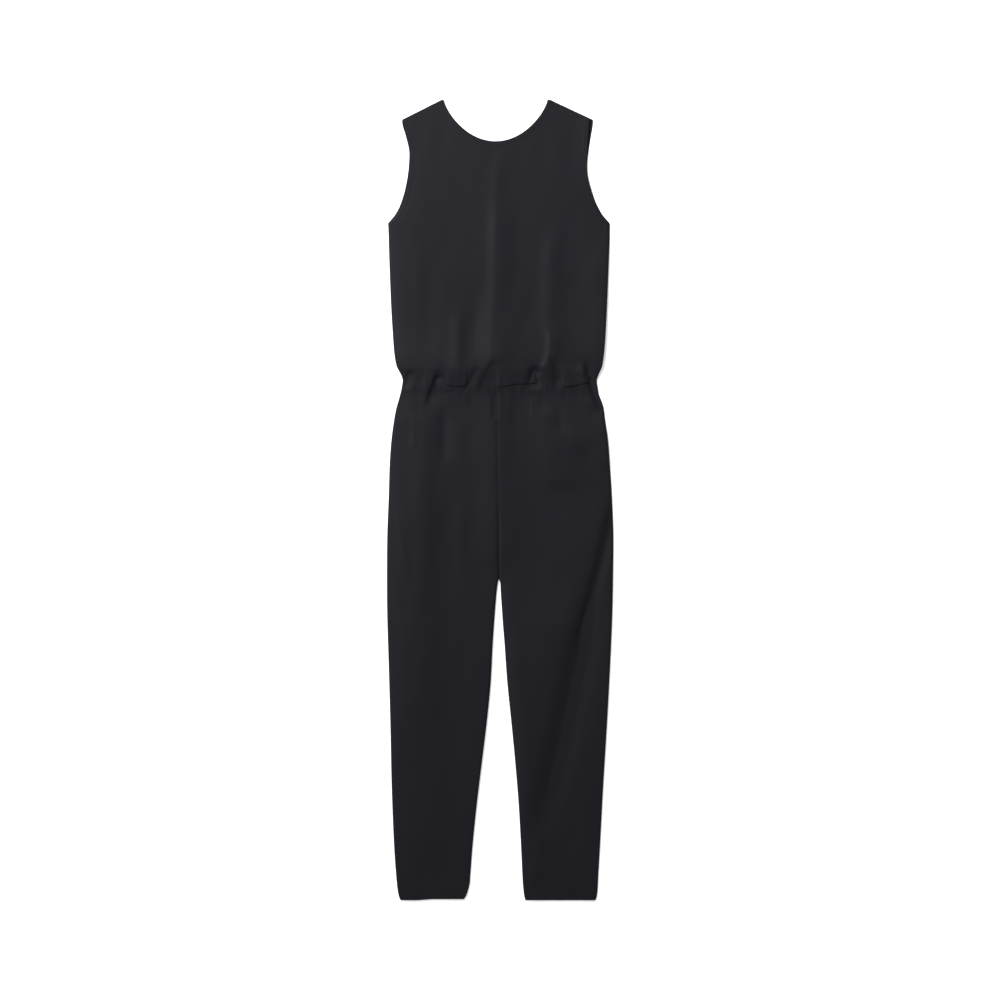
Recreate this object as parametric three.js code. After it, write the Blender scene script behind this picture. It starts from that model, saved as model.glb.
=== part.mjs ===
import * as THREE from 'three';

// A sleeveless jumpsuit laid out face up on a flat surface, in millimetres.
// +Y points to the shoulders, +X to the right as seen from above, and +Z up.
// The back panels lie flat on the surface and the front panels lie on them.
// The bodice blouses over an elastic waist casing, and the trousers taper to narrow hems.

// Driving sizes
const shoulderY = 720; // high shoulder points
const hemY = -720; // trouser hems
const casingTopY = 219; // waist seam, where the bodice joins the elastic casing
const casingBottomY = 191; // lower seam of the casing
const underarmY = 498;
const shoulderTipY = 684.6;
const crotchY = -142.5;
const wall = 1.2; // one layer of cloth
const seamGap = 0.3; // space between neighbouring pieces
const hemDepth = 29; // turned-up hem at the ankle
const hemExtra = 0.5; // how much the turned-up layer lifts the hem
const bedHeight = wall + seamGap; // the front panels lie at least this high
const edgeInset = 0.8; // the front panels' lower edges sit this far inside the outline
const seamRadius = { left: 26, right: 6 }; // how soon a front panel rises from a seam on each side
const backNeckExtra = 4; // the back neckline is this much deeper than the front one
const neck = { middle: -7.9, halfWidth: 93.6, drop: 74.5, exponent: 1.33 };
const shoulders = { leftStart: -105.6, rightStart: 91.3, left: -175.9, right: 167.2, frontRight: 161.4 };
const blouse = { startY: 227, layerGap: 0.8, layersStartY: 258 };
const centreDip = { depth: 0.35, width: 8, joinsFrom: 115, joinsBy: 160 };

// The front's armhole edges aren't sewn down, and the right one stands a little proud.
const armhole = {
  opensFromY: 480,
  opensByY: 540,
  lift: 0.9,
  liftWidth: 18,
  liftByY: 640,
  frontInset: 2.6,
  insetFromY: 470,
};

// The left hem curves up a little towards the inner leg.
const leftHem = { rise: 1.9, startX: -152, fullX: -118, startY: -640 };

// Outline of the side seams, from the underarm to the hem.
const sideSeams = [
  { y: 498, left: -201.4, right: 198 },
  { y: 477, left: -200.7, right: 197.7 },
  { y: 423, left: -199.1, right: 195.8 },
  { y: 351, left: -196.2, right: 193 },
  { y: 297, left: -193, right: 190.3 },
  { y: 269, left: -190.9, right: 188.2 },
  { y: 254, left: -189, right: 186.4 },
  { y: 240, left: -185.9, right: 183.9 },
  { y: 226, left: -178.5, right: 177.9 },
  { y: 217, left: -175.4, right: 174.6 },
  { y: 210, left: -175.7, right: 174.6 },
  { y: 200, left: -177.4, right: 176.3 },
  { y: 190, left: -179.7, right: 178 },
  { y: 176, left: -183.5, right: 183.4 },
  { y: 165, left: -186.7, right: 186.6 },
  { y: 145, left: -190.5, right: 189.2 },
  { y: 108, left: -195.5, right: 194.6 },
  { y: 63, left: -198.7, right: 198 },
  { y: 9, left: -200.3, right: 201.4 },
  { y: -63, left: -203, right: 204.1 },
  { y: -135, left: -203.6, right: 203.6 },
  { y: -207, left: -203.1, right: 202.2 },
  { y: -297, left: -200.4, right: 198.4 },
  { y: -405, left: -197.4, right: 192.6 },
  { y: -513, left: -195.1, right: 186 },
  { y: -621, left: -190.8, right: 180.2 },
  { y: -678, left: -186.8, right: 176.9 },
  { y: -700, left: -184.4, right: 175.8 },
  { y: -714, left: -181.7, right: 174 },
  { y: -720, left: -178.9, right: 171.8 },
];

// Armhole edges. The back shows a little beyond the front at the right armhole.
const armholes = [
  { y: 684.6, left: -175.9, right: 167.2, frontRight: 161.4 },
  { y: 679, left: -176.1, right: 167.4, frontRight: 160.6 },
  { y: 669, left: -174, right: 166.2, frontRight: 160 },
  { y: 658, left: -170.4, right: 164.2, frontRight: 158.8 },
  { y: 629, left: -163.6, right: 159.7, frontRight: 157 },
  { y: 604, left: -163.9, right: 157.1, frontRight: 156 },
  { y: 582, left: -166.3, right: 158.5, frontRight: 157.8 },
  { y: 557, left: -171.2, right: 165, frontRight: 164.2 },
  { y: 539, left: -176.5, right: 171.2, frontRight: 169.8 },
  { y: 524.7, left: -182.1, right: 177.9, frontRight: 175.6 },
  { y: 512, left: -189.7, right: 185.6, frontRight: 182.6 },
  { y: 498, left: -201.4, right: 198, frontRight: 195.4 },
];

// Inner leg seams, below the crotch.
const innerLegs = [
  { y: -142.5, left: -2.8, right: -1 },
  { y: -149, left: -3.9, right: 0.5 },
  { y: -163, left: -5.7, right: 1.1 },
  { y: -187, left: -7.9, right: 2.7 },
  { y: -223, left: -10.6, right: 5.2 },
  { y: -259, left: -13, right: 8.1 },
  { y: -331, left: -16.9, right: 13.3 },
  { y: -403, left: -24.1, right: 20.7 },
  { y: -475, left: -32.9, right: 27.6 },
  { y: -547, left: -41.6, right: 33.5 },
  { y: -619, left: -49, right: 37.6 },
  { y: -678, left: -53.5, right: 40.4 },
  { y: -692, left: -54.6, right: 41.2 },
  { y: -712, left: -60, right: 43.5 },
  { y: -720, left: -64.6, right: 45.5 },
];

// Centre seam, from the back neckline to the crotch.
const centreSeam = [
  { y: 720, x: -7.9 },
  { y: 219, x: -6.2 },
  { y: 108, x: -4.6 },
  { y: 0, x: -3.2 },
  { y: -142.5, x: -1.9 },
];

// How high the slack cloth of the front lies above the back, down the garment's middle.
const bodiceSlack = [
  { y: 720, rise: 0.7 },
  { y: 600, rise: 1.4 },
  { y: 480, rise: 2 },
  { y: 340, rise: 3.3 },
  { y: 290, rise: 4.8 },
  { y: 262, rise: 5.6 },
  { y: 236, rise: 5.4 },
  { y: 219, rise: 5.2 },
];
const lowerSlack = [
  { y: 219, rise: 1.9 },
  { y: 205, rise: 1.3 },
  { y: 191, rise: 0.5 },
  { y: 180, rise: 0.3 },
  { y: 168, rise: 0.4 },
  { y: 150, rise: 0.9 },
  { y: 60, rise: 2.7 },
  { y: -140, rise: 3.1 },
  { y: -330, rise: 2.7 },
  { y: -520, rise: 2.3 },
  { y: -680, rise: 1.7 },
  { y: -720, rise: 1.1 },
];

// Soft folds. A ridge has a positive rise and a trough a negative one. left and right are the
// half widths of the two flanks, bow is how far the middle bends to the right, and fade is the
// share of the length over which each end dies away.
const bodiceFolds = [
  { topX: -1, topY: 660, endX: -11, endY: 360, bow: -2, left: 11, right: 14, rise: 0.6, fade: 0.3 },
  { topX: -6, topY: 560, endX: -18, endY: 198, bow: 3, left: 14, right: 30, rise: 2, fade: 0.22 },
  { topX: -47, topY: 420, endX: -50, endY: 226, bow: 0, left: 22, right: 14, rise: -1.5, fade: 0.35 },
  { topX: 94, topY: 500, endX: 90, endY: 246, bow: -3, left: 14, right: 22, rise: 1.5, fade: 0.25 },
  { topX: -150, topY: 480, endX: -152, endY: 285, bow: 0, left: 30, right: 14, rise: 0.9, fade: 0.3 },
  { topX: 186, topY: 480, endX: 184, endY: 222, bow: 0, left: 32, right: 14, rise: 1.8, fade: 0.3 },
];

// Sharper folds that the waist pulls in, across the casing and the cloth on both sides of it.
const waistFolds = [
  { topX: -75, topY: 350, endX: -77, endY: 200, bow: 0, left: 14, right: 10, rise: 1.4, fade: 0.35 },
  { topX: -2, topY: 256, endX: -36, endY: 188, bow: -5, left: 8, right: 32, rise: -1.8, fade: 0.25 },
  { topX: 64, topY: 248, endX: 54, endY: 194, bow: 0, left: 8, right: 8, rise: -3, fade: 0.32 },
  { topX: 87, topY: 312, endX: 58, endY: 208, bow: 15, left: 8, right: 20, rise: 1.9, fade: 0.25 },
  { topX: 97, topY: 264, endX: 106, endY: 192, bow: 0, left: 8, right: 10, rise: -2.2, fade: 0.35 },
  { topX: -160, topY: 236, endX: -175, endY: 198, bow: 0, left: 7, right: 9, rise: -1.6, fade: 0.25 },
  { topX: -112, topY: 230, endX: -134, endY: 156, bow: 0, left: 7, right: 17, rise: -2, fade: 0.38 },
  { topX: 146, topY: 252, endX: 180, endY: 156, bow: -5, left: 16, right: 7, rise: 1.6, fade: 0.25 },
  { topX: 154, topY: 255, endX: 189, endY: 154, bow: -5, left: 7, right: 7, rise: -2.4, fade: 0.22 },
];

// Gathers that the elastic pulls in, each a trough across the casing and into the cloth
// above and below it. reachUp and reachDown are its lengths from the casing's middle.
const gathers = [
  { x: -147, lean: -2, halfWidth: 6, depth: 0.7, reachUp: 20, reachDown: 70 },
  { x: -84, lean: 3, halfWidth: 6, depth: 0.7, reachUp: 20, reachDown: 52 },
  { x: -66, lean: 5, halfWidth: 6, depth: 0.8, reachUp: 18, reachDown: 40 },
  { x: -50, lean: 3, halfWidth: 7, depth: 0.8, reachUp: 20, reachDown: 60 },
  { x: -12, lean: 1, halfWidth: 6, depth: 1, reachUp: 16, reachDown: 50 },
  { x: 8, lean: -2, halfWidth: 6, depth: 0.6, reachUp: 20, reachDown: 60 },
  { x: 26, lean: 1, halfWidth: 8, depth: 0.8, reachUp: 18, reachDown: 120 },
  { x: 43, lean: 2, halfWidth: 6, depth: 0.7, reachUp: 24, reachDown: 50 },
  { x: 76, lean: 0, halfWidth: 6, depth: 0.6, reachUp: 20, reachDown: 64 },
  { x: 118, lean: 1, halfWidth: 6, depth: 0.7, reachUp: 22, reachDown: 30 },
  { x: 137, lean: -4, halfWidth: 6, depth: 0.7, reachUp: 26, reachDown: 36 },
];

// How far the blouse hangs down over the casing, from side seam to side seam.
const blouseLip = [
  { x: 176, reach: 4 },
  { x: 165, reach: 7 },
  { x: 150, reach: 10 },
  { x: 136, reach: 13 },
  { x: 118, reach: 15.5 },
  { x: 106, reach: 10 },
  { x: 96, reach: 5 },
  { x: 80, reach: 4.5 },
  { x: 62, reach: 9 },
  { x: 50, reach: 10 },
  { x: 30, reach: 10.5 },
  { x: 12, reach: 13.5 },
  { x: 0, reach: 15.5 },
  { x: -10, reach: 11 },
  { x: -22, reach: 5 },
  { x: -48, reach: 5 },
  { x: -60, reach: 12 },
  { x: -70, reach: 14.5 },
  { x: -84, reach: 14.5 },
  { x: -96, reach: 10 },
  { x: -108, reach: 5 },
  { x: -150, reach: 3 },
  { x: -176, reach: 3 },
];

// The long slanting ridges and troughs make the deep fold across the right leg.
const trouserFolds = [
  { topX: -134, topY: 186, endX: -141, endY: -210, bow: 0, left: 24, right: 24, rise: 2.3, fade: 0.15 },
  { topX: -143, topY: -120, endX: -140, endY: -700, bow: 0, left: 32, right: 34, rise: 1.5, fade: 0.2 },
  { topX: -24, topY: -190, endX: -58, endY: -700, bow: 0, left: 26, right: 20, rise: 0.8, fade: 0.2 },
  { topX: -190, topY: -5, endX: -163, endY: -155, bow: 0, left: 9, right: 11, rise: 0.8, fade: 0.3 },
  { topX: -101, topY: 185, endX: -100, endY: 58, bow: 0, left: 9, right: 12, rise: -1.6, fade: 0.35 },
  { topX: -72, topY: 165, endX: -72, endY: 20, bow: 0, left: 14, right: 14, rise: 0.5, fade: 0.3 },
  { topX: -70, topY: 10, endX: -70, endY: -155, bow: 0, left: 11, right: 12, rise: 0.8, fade: 0.25 },
  { topX: -12, topY: 165, endX: -8, endY: -135, bow: 0, left: 16, right: 30, rise: 1.5, fade: 0.15 },
  { topX: -160, topY: 196, endX: -168, endY: 118, bow: 0, left: 20, right: 26, rise: 0.9, fade: 0.45 },
  { topX: 82, topY: 182, endX: 110, endY: 8, bow: -8, left: 22, right: 26, rise: 1.7, fade: 0.2 },
  { topX: 106, topY: 188, endX: 110, endY: 108, bow: 0, left: 12, right: 10, rise: -0.9, fade: 0.4 },
  { topX: 240, topY: 134, endX: 84, endY: 98, bow: 0, left: 52, right: 28, rise: 4, fade: 0.34 },
  { topX: 194, topY: 20, endX: 118, endY: -285, bow: 1, left: 46, right: 14, rise: 2.8, fade: 0.22 },
  { topX: 210, topY: 20, endX: 133, endY: -285, bow: 1, left: 12, right: 12, rise: -2.5, fade: 0.22 },
  { topX: 141, topY: -130, endX: 27, endY: -620, bow: 1, left: 56, right: 21, rise: 3.5, fade: 0.25 },
  { topX: 170, topY: -130, endX: 55, endY: -620, bow: 1, left: 20, right: 34, rise: -3, fade: 0.25 },
  { topX: 208, topY: -130, endX: 112, endY: -580, bow: 2, left: 15, right: 26, rise: 0.8, fade: 0.2 },
  { topX: 76, topY: -585, endX: 56, endY: -697, bow: 0, left: 9, right: 16, rise: 1, fade: 0.25 },
];

// A smooth curve through one column of a table whose rows go down in the key column.
function along(table, column, at, key = 'y') {
  const last = table.length - 1;
  let row = 0;
  while (row < last - 1 && at < table[row + 1][key]) row += 1;
  const slope = (i) => {
    const before = table[Math.max(i - 1, 0)];
    const after = table[Math.min(i + 1, last)];
    return (after[column] - before[column]) / (after[key] - before[key]);
  };
  const span = table[row + 1][key] - table[row][key];
  const t = THREE.MathUtils.clamp((at - table[row][key]) / span, 0, 1);
  const blend = t * t * (3 - 2 * t);
  const bend = slope(row) * t * (1 - t) ** 2 - slope(row + 1) * t * t * (1 - t);
  return THREE.MathUtils.lerp(table[row][column], table[row + 1][column], blend) + span * bend;
}

const leftEdge = (y) => along(y > underarmY ? armholes : sideSeams, 'left', y);
const rightEdge = (y) => along(y > underarmY ? armholes : sideSeams, 'right', y);

// The front's right edge stays inside the back's around the underarm.
function frontRightEdge(y) {
  if (y > underarmY) return along(armholes, 'frontRight', y);
  return rightEdge(y) - armhole.frontInset * THREE.MathUtils.smoothstep(y, armhole.insetFromY, underarmY);
}

const centre = (y) => along(centreSeam, 'x', y);

function innerEdge(y, side) {
  if (y <= crotchY) return along(innerLegs, side < 0 ? 'left' : 'right', y);
  return centre(y) + (side * seamGap) / 2;
}

// The bodice's upper edge: a straight shoulder seam on each side of the scooped neckline.
function upperEdge(x, tips, drop) {
  const across = (x - neck.middle) / neck.halfWidth;
  if (Math.abs(across) < 1) return shoulderY - drop * (1 - across ** 2) ** (1 / neck.exponent);
  const toLeft = (x - shoulders.leftStart) / (tips.left - shoulders.leftStart);
  const toRight = (x - shoulders.rightStart) / (tips.right - shoulders.rightStart);
  return THREE.MathUtils.lerp(shoulderY, shoulderTipY, Math.max(0, toLeft, toRight));
}

// A quarter round that rises from 0 at a seam to 1 at the given distance from it.
function quarterRound(distance, radius) {
  const t = THREE.MathUtils.clamp(distance / radius, 0, 1);
  return Math.sqrt(1 - (1 - t) ** 2);
}

// The height that a fold adds at a point: a bell across its line, fading out at both ends.
function foldHeight(fold, x, y) {
  const line = new THREE.Vector2(fold.endX - fold.topX, fold.endY - fold.topY);
  const offset = new THREE.Vector2(x - fold.topX, y - fold.topY);
  const t = offset.dot(line) / line.lengthSq();
  const toRight = line.cross(offset) / line.length() - 4 * fold.bow * t * (1 - t);
  const bell = Math.exp(-((toRight / (toRight < 0 ? fold.left : fold.right)) ** 2));
  const start = THREE.MathUtils.smoothstep(t, 0, fold.fade);
  return fold.rise * bell * start * (1 - THREE.MathUtils.smoothstep(t, 1 - fold.fade, 1));
}

// The depth of a gather at a point, full over the casing and fading above and below it.
function gatherHeight(gather, x, y) {
  const rise = y - (casingTopY + casingBottomY) / 2;
  const middle = gather.x + gather.lean * THREE.MathUtils.clamp(rise / gather.reachDown, -1, 1);
  const reach = rise > 0 ? gather.reachUp : gather.reachDown;
  const fade = 1 - THREE.MathUtils.smoothstep(Math.abs(rise), reach * 0.35, reach);
  return -gather.depth * Math.exp(-(((x - middle) / gather.halfWidth) ** 2)) * fade;
}

const sumOf = (rows, height, x, y) => rows.reduce((sum, row) => sum + height(row, x, y), 0);

// Height of a front panel's inner face over the bed, from the slack, the folds and the gathers.
// seamRound is 0 at a seam that holds the panel down and 1 away from it.
function lift(x, y, seamRound, slack, folds) {
  const shape = along(slack, 'rise', y) + sumOf([...folds, ...waistFolds], foldHeight, x, y);
  return Math.max(0, seamRound * (shape + sumOf(gathers, gatherHeight, x, y)));
}

function bodiceLift(x, y) {
  const openEdge = THREE.MathUtils.smoothstep(y, armhole.opensFromY, armhole.opensByY);
  const leftRound = quarterRound(x - leftEdge(y) - edgeInset, seamRadius.left);
  const rightRound = quarterRound(frontRightEdge(y) - x - edgeInset, seamRadius.right);
  const seamRound = Math.min(Math.max(leftRound, openEdge / 2), Math.max(rightRound, openEdge));
  const layers = 1 - THREE.MathUtils.smoothstep(y, blouse.startY, blouse.layersStartY);
  const underLayers = layers * (2 * wall + blouse.layerGap);
  const fromArmhole = (x - shoulders.frontRight) / armhole.liftWidth;
  const nearArmhole = THREE.MathUtils.smoothstep(y, armhole.opensByY, armhole.liftByY);
  const armLift = armhole.lift * Math.exp(-(fromArmhole ** 2)) * nearArmhole;
  return Math.max(underLayers, lift(x, y, seamRound, bodiceSlack, bodiceFolds) + armLift);
}

// The casing lies flatter than the cloth that it gathers.
function casingLift(x, y) {
  const leftRound = quarterRound(x - leftEdge(y) - edgeInset, seamRadius.left);
  const rightRound = quarterRound(rightEdge(y) - x - edgeInset, seamRadius.right);
  return lift(x, y, Math.min(leftRound, rightRound), lowerSlack, []);
}

// The centre seam draws the trouser fronts down a little, and the inner leg seams all the way.
function trouserLift(x, y, side) {
  const outer = side < 0 ? x - leftEdge(y) : rightEdge(y) - x;
  const inner = Math.abs(x - innerEdge(y, side));
  const radii = side < 0 ? [seamRadius.left, seamRadius.right] : [seamRadius.right, seamRadius.left];
  const joined = THREE.MathUtils.smoothstep(-y, centreDip.joinsFrom, centreDip.joinsBy);
  const seamDip = 1 - centreDip.depth * Math.exp(-((inner / centreDip.width) ** 2));
  const innerRound = THREE.MathUtils.lerp(seamDip, quarterRound(inner - edgeInset, radii[1]), joined);
  const seamRound = Math.min(quarterRound(outer - edgeInset, radii[0]), innerRound);
  return lift(x, y, seamRound, lowerSlack, trouserFolds);
}

// A closed wall of cloth from a grid of points on its inner face. Each outer point is the
// inner one moved out along the surface's normal by the thickness there. At the four edges
// the move keeps inside the edge's own upright plane, so neighbouring pieces stay apart.
// leansLeft turns the triangles to follow folds that run down to the left.
function clothWall(inner, thicknessAt, leansLeft = false) {
  const rows = inner.length;
  const columns = inner[0].length;
  const outer = inner.map((line, r) =>
    line.map((point, c) => {
      const across = inner[r][Math.min(c + 1, columns - 1)].clone().sub(inner[r][Math.max(c - 1, 0)]);
      const down = inner[Math.min(r + 1, rows - 1)][c].clone().sub(inner[Math.max(r - 1, 0)][c]);
      const normal = down.cross(across);
      if (c === 0 || c === columns - 1) normal.x = 0;
      if (r === 0 || r === rows - 1) normal.y = 0;
      return normal.normalize().multiplyScalar(thicknessAt(point)).add(point);
    }),
  );
  const points = [...outer.flat(), ...inner.flat()];
  const index = [];
  const quad = (a, b, c, d) => index.push(a, b, c, a, c, d);
  const turned = (a, b, c, d) => index.push(a, b, d, b, c, d);
  const face = leansLeft ? turned : quad;
  const at = (r, c) => r * columns + c;
  const under = (i) => i + rows * columns;
  for (let r = 0; r < rows - 1; r += 1) {
    for (let c = 0; c < columns - 1; c += 1) {
      const corners = [at(r, c), at(r + 1, c), at(r + 1, c + 1), at(r, c + 1)];
      face(...corners);
      face(...[0, 3, 2, 1].map((i) => under(corners[i])));
    }
  }
  const rim = (a, b) => quad(a, b, under(b), under(a));
  for (let c = 0; c < columns - 1; c += 1) {
    rim(at(0, c), at(0, c + 1));
    rim(at(rows - 1, c + 1), at(rows - 1, c));
  }
  for (let r = 0; r < rows - 1; r += 1) {
    rim(at(r + 1, 0), at(r, 0));
    rim(at(r, columns - 1), at(r + 1, columns - 1));
  }
  const geometry = new THREE.BufferGeometry().setFromPoints(points);
  geometry.setIndex(index);
  geometry.computeVertexNormals();
  return geometry;
}

// Fractions from 0 to 1 in equal steps, and the same over a list of unequal spans.
const steps = (count) => Array.from({ length: count + 1 }, (_, i) => i / count);
const spans = (stops, counts) =>
  counts.flatMap((count, i) =>
    steps(count).slice(i ? 1 : 0).map((t) => THREE.MathUtils.lerp(stops[i], stops[i + 1], t)),
  );

const shoulderColumns = 10;
const neckColumns = 28;
const waistColumns = 2 * shoulderColumns + neckColumns;
const frontWidth = shoulders.frontRight - shoulders.left;
const highPointAt = (side) => (neck.middle + side * neck.halfWidth - shoulders.left) / frontWidth;
const bodiceColumns = spans(
  [0, highPointAt(-1), highPointAt(1), 1],
  [shoulderColumns, neckColumns, shoulderColumns],
);

const backTips = { left: shoulders.left, right: shoulders.right };
const frontTips = { left: shoulders.left, right: shoulders.frontRight };
const insetAcross = (left, right, u) =>
  THREE.MathUtils.lerp(left + edgeInset, right - edgeInset, u);

// The blouse's roll below its start: over the lip and back up underneath to the waist seam.
// ahead is a share of the lip's reach and height a share of the roll's inner height.
const rollSection = [
  { ahead: 0.35, height: 1 },
  { ahead: 0.82, height: 0.84 },
  { ahead: 1, height: 0.48 },
  { ahead: 0.8, height: 0.06 },
  { ahead: 0, height: 0 },
];

function bodiceFront() {
  const bodiceRows = 20;
  const fallOff = 1.25; // rows lie closer together towards the waist
  const main = steps(bodiceRows).map((t) => {
    const v = (1 - t) ** fallOff;
    const edgeY = THREE.MathUtils.lerp(blouse.startY, shoulderTipY, v);
    return bodiceColumns.map((u) => {
      const top = upperEdge(THREE.MathUtils.lerp(frontTips.left, frontTips.right, u), frontTips, neck.drop);
      const y = THREE.MathUtils.lerp(blouse.startY, top, v);
      const x = insetAcross(leftEdge(edgeY), frontRightEdge(edgeY), u);
      return new THREE.Vector3(x, y, bedHeight + bodiceLift(x, y));
    });
  });
  const roll = rollSection.map(({ ahead, height }) =>
    bodiceColumns.map((u, c) => {
      const flatX = insetAcross(leftEdge(casingTopY), rightEdge(casingTopY), u);
      const y = casingTopY - ahead * along(blouseLip, 'reach', flatX, 'x');
      const x = insetAcross(leftEdge(y), rightEdge(y), u);
      const low = bedHeight + casingLift(x, y) + 2 * wall + blouse.layerGap;
      const high = Math.max(main[bodiceRows][c].z, low + 1);
      return new THREE.Vector3(x, y, THREE.MathUtils.lerp(low, high, height));
    }),
  );
  return clothWall([...main, ...roll], () => wall);
}

function casingFront() {
  const casingRows = 4;
  const grid = steps(casingRows).map((t) => {
    const y = THREE.MathUtils.lerp(casingTopY, casingBottomY, t);
    return bodiceColumns.map((u) => {
      const x = insetAcross(leftEdge(y), rightEdge(y), u);
      return new THREE.Vector3(x, y, bedHeight + casingLift(x, y));
    });
  });
  return clothWall(grid, () => wall);
}

function hemRise(x, y) {
  const onLeftLeg = x < 0 ? THREE.MathUtils.smoothstep(x, leftHem.startX, leftHem.fullX) : 0;
  return leftHem.rise * onLeftLeg * THREE.MathUtils.smoothstep(-y, -leftHem.startY, -hemY);
}

// Turned-up hem: the cloth is thicker over its last few centimetres.
const hemStart = hemY + hemDepth;
const hemStep = 3; // length over which the cloth thickens

function hemThickness({ x, y }) {
  return wall + hemExtra * THREE.MathUtils.smoothstep(hemRise(x, y) - y, -hemStart - hemStep, -hemStart);
}

// The trouser's rows: close together in the gathers, with one at the crotch.
const trouserRows = spans(
  [casingBottomY - seamGap, 90, crotchY, hemStart + hemStep, hemStart, hemY],
  [7, 6, 17, 1, 1],
);

function trouserFront(side) {
  const columns = steps(waistColumns / 2);
  const grid = trouserRows.map((y) => {
    const outer = side < 0 ? leftEdge(y) + edgeInset : rightEdge(y) - edgeInset;
    const inset = y < crotchY ? side * edgeInset : 0;
    const inner = innerEdge(y, side) + inset;
    const [from, to] = side < 0 ? [outer, inner] : [inner, outer];
    return columns.map((u) => {
      const x = THREE.MathUtils.lerp(from, to, u);
      return new THREE.Vector3(x, y + hemRise(x, y), bedHeight + trouserLift(x, y, side));
    });
  });
  return clothWall(grid, hemThickness, side > 0);
}

// A flat panel of the back, as thick as the cloth, from its outline.
function flatPanel(outline) {
  const shape = new THREE.Shape(outline.map(([x, y]) => new THREE.Vector2(x, y)));
  return new THREE.ExtrudeGeometry(shape, { depth: wall, bevelEnabled: false });
}

const heights = (from, to, count) => steps(count).map((t) => THREE.MathUtils.lerp(from, to, t));

function bodiceBack(side) {
  const edge = side < 0 ? leftEdge : rightEdge;
  const seamX = (y) => centre(y) + (side * seamGap) / 2;
  const bottom = casingTopY + seamGap;
  const highPoint = neck.middle + side * neck.halfWidth;
  const drop = neck.drop + backNeckExtra;
  const neckline = heights(seamX(shoulderY), highPoint, 16).map((x) => [x, upperEdge(x, backTips, drop)]);
  const shoulderStart = side < 0 ? shoulders.leftStart : shoulders.rightStart;
  const armEdge = heights(shoulderTipY, underarmY, 16).map((y) => [edge(y), y]);
  const sideSeam = heights(underarmY, bottom, 16).slice(1).map((y) => [edge(y), y]);
  return flatPanel([
    [seamX(bottom), bottom],
    ...neckline,
    [shoulderStart, shoulderY],
    ...armEdge,
    ...sideSeam,
  ]);
}

function casingBack() {
  const levels = heights(casingTopY, casingBottomY, 3);
  return flatPanel([
    ...levels.map((y) => [rightEdge(y), y]),
    ...[...levels].reverse().map((y) => [leftEdge(y), y]),
  ]);
}

function trouserBack(side) {
  const edge = side < 0 ? leftEdge : rightEdge;
  const top = casingBottomY - seamGap;
  const outer = heights(top, hemY, 32).map((y) => [edge(y), y]);
  const hem = heights(edge(hemY), innerEdge(hemY, side), 8).slice(1, -1).map((x) => [x, hemY]);
  const innerLeg = heights(hemY, crotchY, 20).map((y) => [innerEdge(y, side), y]);
  const centreLine = heights(crotchY, top, 6).slice(1).map((y) => [innerEdge(y, side), y]);
  const outline = [...outer, ...hem, ...innerLeg, ...centreLine];
  return flatPanel(outline.map(([x, y]) => [x, y + hemRise(x, y)]));
}

// Black crepe. The back pieces and the casing are cut from the same cloth.
const crepe = (colour) => new THREE.MeshStandardMaterial({ color: colour, roughness: 0.72, metalness: 0 });
const clothColour = 0x2b2a2f;
const casingColour = 0x29282d;

const jumpsuit = new THREE.Group();

function add(name, geometry, colour = clothColour) {
  const mesh = new THREE.Mesh(geometry, crepe(colour));
  mesh.name = name;
  jumpsuit.add(mesh);
}

add('bodice_front', bodiceFront());
add('waist_casing_front', casingFront(), casingColour);
add('waist_casing_back', casingBack(), casingColour);
for (const [sideName, side] of [['left', -1], ['right', 1]]) {
  add(`bodice_back_${sideName}`, bodiceBack(side));
  add(`trouser_front_${sideName}`, trouserFront(side));
  add(`trouser_back_${sideName}`, trouserBack(side));
}

export default jumpsuit;
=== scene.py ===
import bpy
import numpy as np
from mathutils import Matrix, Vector


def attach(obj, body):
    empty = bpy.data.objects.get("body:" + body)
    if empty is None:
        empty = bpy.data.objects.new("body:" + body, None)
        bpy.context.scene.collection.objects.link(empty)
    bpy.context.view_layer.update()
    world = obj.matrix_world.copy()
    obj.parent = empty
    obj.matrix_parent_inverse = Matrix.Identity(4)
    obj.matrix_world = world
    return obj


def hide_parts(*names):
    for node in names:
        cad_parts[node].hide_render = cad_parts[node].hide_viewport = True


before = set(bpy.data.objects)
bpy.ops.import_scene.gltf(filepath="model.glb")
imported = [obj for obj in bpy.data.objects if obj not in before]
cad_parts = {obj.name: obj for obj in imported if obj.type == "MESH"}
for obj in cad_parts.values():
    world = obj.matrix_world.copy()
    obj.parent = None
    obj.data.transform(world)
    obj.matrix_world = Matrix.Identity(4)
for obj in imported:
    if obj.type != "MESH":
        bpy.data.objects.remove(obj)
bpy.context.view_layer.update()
metresPerMm = 0.001
print("frame loaded:", len(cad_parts), "nodes")

# Camera, floor and light

photo = {
    "widthMm": 1800,  # what the square picture spans on the floor
    "cameraHeight": 4.25,  # metres, straight above the middle of the garment
    "sensorMm": 36,
    "farClip": 50,
}

studio = {
    "floorSize": 12,
    "floorDrop": 0.0002,  # the floor lies this far under the cloth
    "floorColour": (0.9, 0.9, 0.9, 1),
    "floorRoughness": 0.9,
    "floorGlow": 0.45,  # keeps the floor as white as the picture's
    "glowColour": (1, 1, 1, 1),
    "keyPlace": (-2.2, 2.6, 2.65),
    "keySize": 1.3,
    "keyWatts": 278,
    "skyColour": (0.96, 0.97, 1, 1),
    "skyStrength": 0.34,
}


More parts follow.
